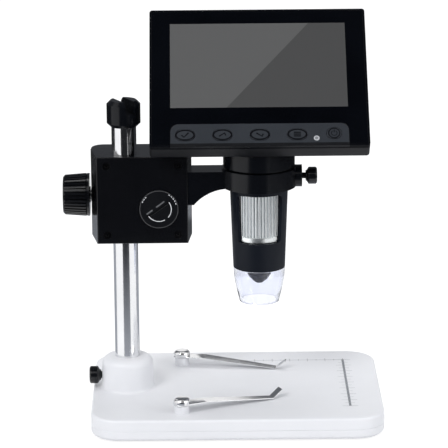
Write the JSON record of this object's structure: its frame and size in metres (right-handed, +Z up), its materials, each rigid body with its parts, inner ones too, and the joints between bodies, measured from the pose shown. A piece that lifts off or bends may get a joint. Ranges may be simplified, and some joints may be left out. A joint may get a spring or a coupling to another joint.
{
  "type": "lcd digital microscope",
  "caption": "Bench microscope with a tilted flat screen, ribbed focus wheel and clear lit nose, sliding on a post that stands on a flat base with slide clips.",
  "frame": {"origin": "on the floor under the feet, at the middle of the whole object's width and depth", "axes": "+Z up; +Y away from the person who reads the screen; +X to their right, from the post towards the barrel"},
  "size_m": [0.1729, 0.118, 0.2172],
  "materials": {
    "white_plastic": "satin white moulding",
    "ballast_steel": "plain rolled steel",
    "screw_steel": "zinc-plated steel",
    "black_steel": "black oxide",
    "foot_rubber": "matt rubber",
    "brake_rubber": "matt friction rubber",
    "insert_brass": "machined brass",
    "black_plastic": "satin black moulding",
    "post_steel": "polished stainless tube",
    "bush_plastic": "natural acetal",
    "dial_plastic": "fine matt black",
    "front_glass": "polished glass, dark border printed behind it",
    "panel_glass": "dark screen, switched off",
    "keypad_plastic": "fine matt dark grey film",
    "key_plastic": "fine matt dark grey",
    "board_green": "solder mask",
    "board_white": "white solder mask",
    "switch_plastic": "moulded black",
    "battery_foil": "pouch foil",
    "lamp_plastic": "clear-white lamp",
    "cone_plastic": "anti-reflection black",
    "clear_plastic": "clear acrylic",
    "lens_glass": "coated lens",
    "silver_metal": "bright ribbed metal",
    "clip_chrome": "bright spring steel"
  },
  "bodies": {
    "base": {"base_top_cover": "white_plastic", "base_bottom_cover": "white_plastic", "base_ballast_plate": "ballast_steel", "base_screws": "screw_steel", "rubber_feet": "foot_rubber", "base_insert": "insert_brass"},
    "base_thumbscrew": {"base_thumbscrew_head": "black_plastic", "base_thumbscrew_stud": "screw_steel"},
    "post": {"post_tube": "post_steel", "post_cap": "black_plastic"},
    "carriage": {"carriage_front_shell": "black_plastic", "carriage_rear_shell": "black_plastic", "case_screws": "black_steel", "guide_bushes": "bush_plastic", "shaft_bushes": "insert_brass", "holder_arm": "black_plastic", "arm_screws": "screw_steel", "ring_insert": "insert_brass"},
    "focus_drive": {"focus_knob": "black_plastic", "focus_shaft": "screw_steel", "friction_roller": "foot_rubber", "shaft_clip": "screw_steel"},
    "lock": {"lock_dial": "dial_plastic", "lock_cam": "bush_plastic"},
    "brake": {"brake_shoe": "brake_rubber"},
    "ring_thumbscrew": {"ring_thumbscrew_head": "black_plastic", "ring_thumbscrew_stud": "screw_steel"},
    "head": {"screen_front_frame": "black_plastic", "screen_glass": "front_glass", "lcd_panel": "panel_glass", "keypad_strip": "keypad_plastic", "key_switches": "switch_plastic", "status_led": "lamp_plastic", "main_board": "board_green", "usb_port": "screw_steel", "card_slot": "screw_steel", "battery": "battery_foil", "head_rear_shell": "black_plastic", "shell_screws": "black_steel", "neck_collar": "black_plastic", "barrel_housing": "black_plastic", "sensor_board": "board_green", "light_board": "board_white", "light_leds": "lamp_plastic", "nose_cone": "cone_plastic", "clear_shroud": "clear_plastic"},
    "ok_key": {"ok_button": "key_plastic"},
    "up_key": {"up_button": "key_plastic"},
    "down_key": {"down_button": "key_plastic"},
    "menu_key": {"menu_button": "key_plastic"},
    "power_key": {"power_button": "key_plastic"},
    "wheel": {"focus_wheel": "silver_metal"},
    "lens": {"lens_carrier": "cone_plastic", "lens_elements": "lens_glass"},
    "dimmer": {"dimmer_wheel": "dial_plastic"},
    "rear_clip": {"rear_clip_strip": "clip_chrome", "rear_clip_stud": "clip_chrome"},
    "front_clip": {"front_clip_strip": "clip_chrome", "front_clip_stud": "clip_chrome"}
  },
  "joints": [
    {"name": "post_swing", "type": "hinge", "parent": "base", "child": "post", "pos_m": [-0.0525, 0, 0], "axis": [0, 0, 1], "continuous": true},
    {"name": "base_thumbscrew_turn", "type": "hinge", "parent": "base", "child": "base_thumbscrew", "pos_m": [-0.0673, 0, 0.0196], "axis": [-1, 0, 0], "range_deg": [0, 360]},
    {"name": "carriage_lift", "type": "slide", "parent": "post", "child": "carriage", "axis": [0, 0, 1], "range_m": [-0.047, 0.015]},
    {"name": "focus_knob_turn", "type": "hinge", "parent": "carriage", "child": "focus_drive", "pos_m": [-0.0719, 0.0113, 0.1197], "axis": [1, 0, 0], "range_deg": [-620, 220]},
    {"name": "brake_shoe_slide", "type": "slide", "parent": "carriage", "child": "brake", "axis": [-1, 0, 0], "range_m": [0, 0.00035]},
    {"name": "lock_dial_turn", "type": "hinge", "parent": "carriage", "child": "lock", "pos_m": [-0.034, -0.009, 0.1162], "axis": [0, 1, 0], "range_deg": [0, 90.5]},
    {"name": "ring_thumbscrew_turn", "type": "hinge", "parent": "carriage", "child": "ring_thumbscrew", "pos_m": [0.0458, 0, 0.13215], "axis": [1, 0, 0], "range_deg": [0, 360]},
    {"name": "head_turn", "type": "hinge", "parent": "carriage", "child": "head", "pos_m": [0.0203, 0, 0.132], "axis": [0, 0, 1], "continuous": true},
    {"name": "ok_key_press", "type": "slide", "parent": "head", "child": "ok_key", "axis": [0, 0.7071, -0.7071], "range_m": [0, 0.0003], "stiffness_N_per_m": 600, "springref_m": -0.0005},
    {"name": "up_key_press", "type": "slide", "parent": "head", "child": "up_key", "axis": [0, 0.7071, -0.7071], "range_m": [0, 0.0003], "stiffness_N_per_m": 600, "springref_m": -0.0005},
    {"name": "down_key_press", "type": "slide", "parent": "head", "child": "down_key", "axis": [0, 0.7071, -0.7071], "range_m": [0, 0.0003], "stiffness_N_per_m": 600, "springref_m": -0.0005},
    {"name": "menu_key_press", "type": "slide", "parent": "head", "child": "menu_key", "axis": [0, 0.7071, -0.7071], "range_m": [0, 0.0003], "stiffness_N_per_m": 600, "springref_m": -0.0005},
    {"name": "power_key_press", "type": "slide", "parent": "head", "child": "power_key", "axis": [0, 0.7071, -0.7071], "range_m": [0, 0.0003], "stiffness_N_per_m": 600, "springref_m": -0.0005},
    {"name": "lens_travel", "type": "slide", "parent": "head", "child": "lens", "axis": [0, 0, 1], "range_m": [-0.004, 0.004]},
    {"name": "focus_wheel_turn", "type": "hinge", "parent": "head", "child": "wheel", "pos_m": [0.0203, 0, 0.11], "axis": [0, 0, 1], "range_deg": [-181, 181]},
    {"name": "dimmer_wheel_turn", "type": "hinge", "parent": "head", "child": "dimmer", "pos_m": [0.0479, 0.02434, 0.18456], "axis": [0, -0.7071, 0.7071], "range_deg": [-135, 135]},
    {"name": "rear_clip_swing", "type": "hinge", "parent": "base", "child": "rear_clip", "pos_m": [-0.0228, 0.0368, 0.0178], "axis": [0, 0, 1], "range_deg": [-65, 100]},
    {"name": "front_clip_swing", "type": "hinge", "parent": "base", "child": "front_clip", "pos_m": [-0.0225, -0.0465, 0.0178], "axis": [0, 0, 1], "range_deg": [-115, 50]}
  ],
  "couplings": [
    {"joint": "focus_knob_turn", "follows": "carriage_lift", "rad_per_m": 222.22},
    {"joint": "lock_dial_turn", "follows": "brake_shoe_slide", "rad_per_m": 4488},
    {"joint": "focus_wheel_turn", "follows": "lens_travel", "rad_per_m": 785.4}
  ]
}
